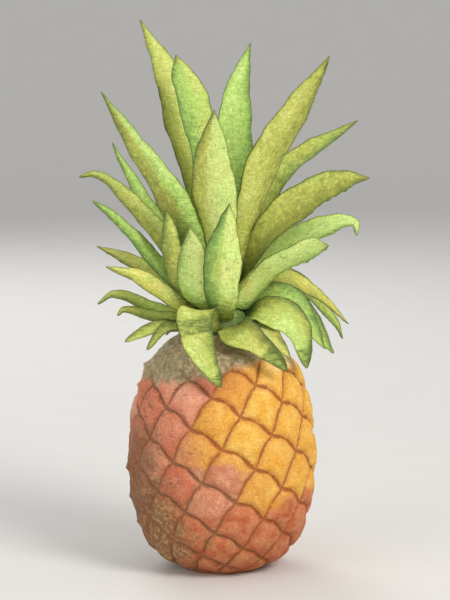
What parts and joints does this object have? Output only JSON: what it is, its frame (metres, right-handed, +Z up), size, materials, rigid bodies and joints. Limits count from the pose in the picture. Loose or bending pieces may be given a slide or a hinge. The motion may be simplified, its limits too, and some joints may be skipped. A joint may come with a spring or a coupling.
{
  "type": "pineapple",
  "caption": "Whole fresh pineapple standing upright: oval fruit skinned in spiral rows of eyes, under a crown of long pointed leaves.",
  "frame": {"origin": "centre of the flat base that the fruit stands on, at floor level, on the fruit's axis", "axes": "+Z up along the fruit's axis to the crown, -Y towards the front of the picture, +X to its right"},
  "size_m": [0.1952, 0.1584, 0.3734],
  "materials": {
    "fruit_skin": "waxy rind, golden orange to salmon with brown seams",
    "cut_stem": "dry fibrous cut face",
    "crown_heart": "pale green plant tissue",
    "leaf_olive": "satin leaf, olive yellow",
    "leaf_lime": "satin leaf, yellow green",
    "leaf_green": "satin leaf, bright green"
  },
  "bodies": {
    "root": {"crown_heart": "crown_heart", "cut_stem": "cut_stem", "fruit": "fruit_skin", "leaf_back_01": "leaf_lime", "leaf_back_02": "leaf_lime", "leaf_back_03": "leaf_lime", "leaf_back_04": "leaf_lime", "leaf_back_05": "leaf_lime", "leaf_back_06": "leaf_lime", "leaf_back_07": "leaf_lime", "leaf_back_08": "leaf_lime", "leaf_back_09": "leaf_lime", "leaf_back_10": "leaf_lime", "leaf_back_left_broad": "leaf_green", "leaf_back_left_tall": "leaf_lime", "leaf_back_right_tall": "leaf_green", "leaf_front_centre": "leaf_lime", "leaf_front_droop": "leaf_lime", "leaf_front_left": "leaf_lime", "leaf_front_right": "leaf_lime", "leaf_front_tall": "leaf_lime", "leaf_inner_01": "leaf_lime", "leaf_inner_02": "leaf_lime", "leaf_left_droop": "leaf_lime", "leaf_left_droop_front": "leaf_lime", "leaf_left_green": "leaf_green", "leaf_left_hook_lower": "leaf_lime", "leaf_left_hook_upper": "leaf_lime", "leaf_left_low_lower": "leaf_olive", "leaf_left_low_upper": "leaf_olive", "leaf_left_mid": "leaf_lime", "leaf_left_tall": "leaf_lime", "leaf_left_thin": "leaf_green", "leaf_right_curl": "leaf_green", "leaf_right_fan_back": "leaf_lime", "leaf_right_fan_bright": "leaf_green", "leaf_right_fan_front": "leaf_lime", "leaf_right_fan_inner": "leaf_olive", "leaf_right_fan_teal": "leaf_green", "leaf_right_fan_top": "leaf_olive", "leaf_right_hook": "leaf_green", "leaf_right_low": "leaf_lime", "leaf_right_mid": "leaf_olive", "leaf_right_tall": "leaf_olive", "leaf_right_upper": "leaf_lime"}
  },
  "joints": []
}
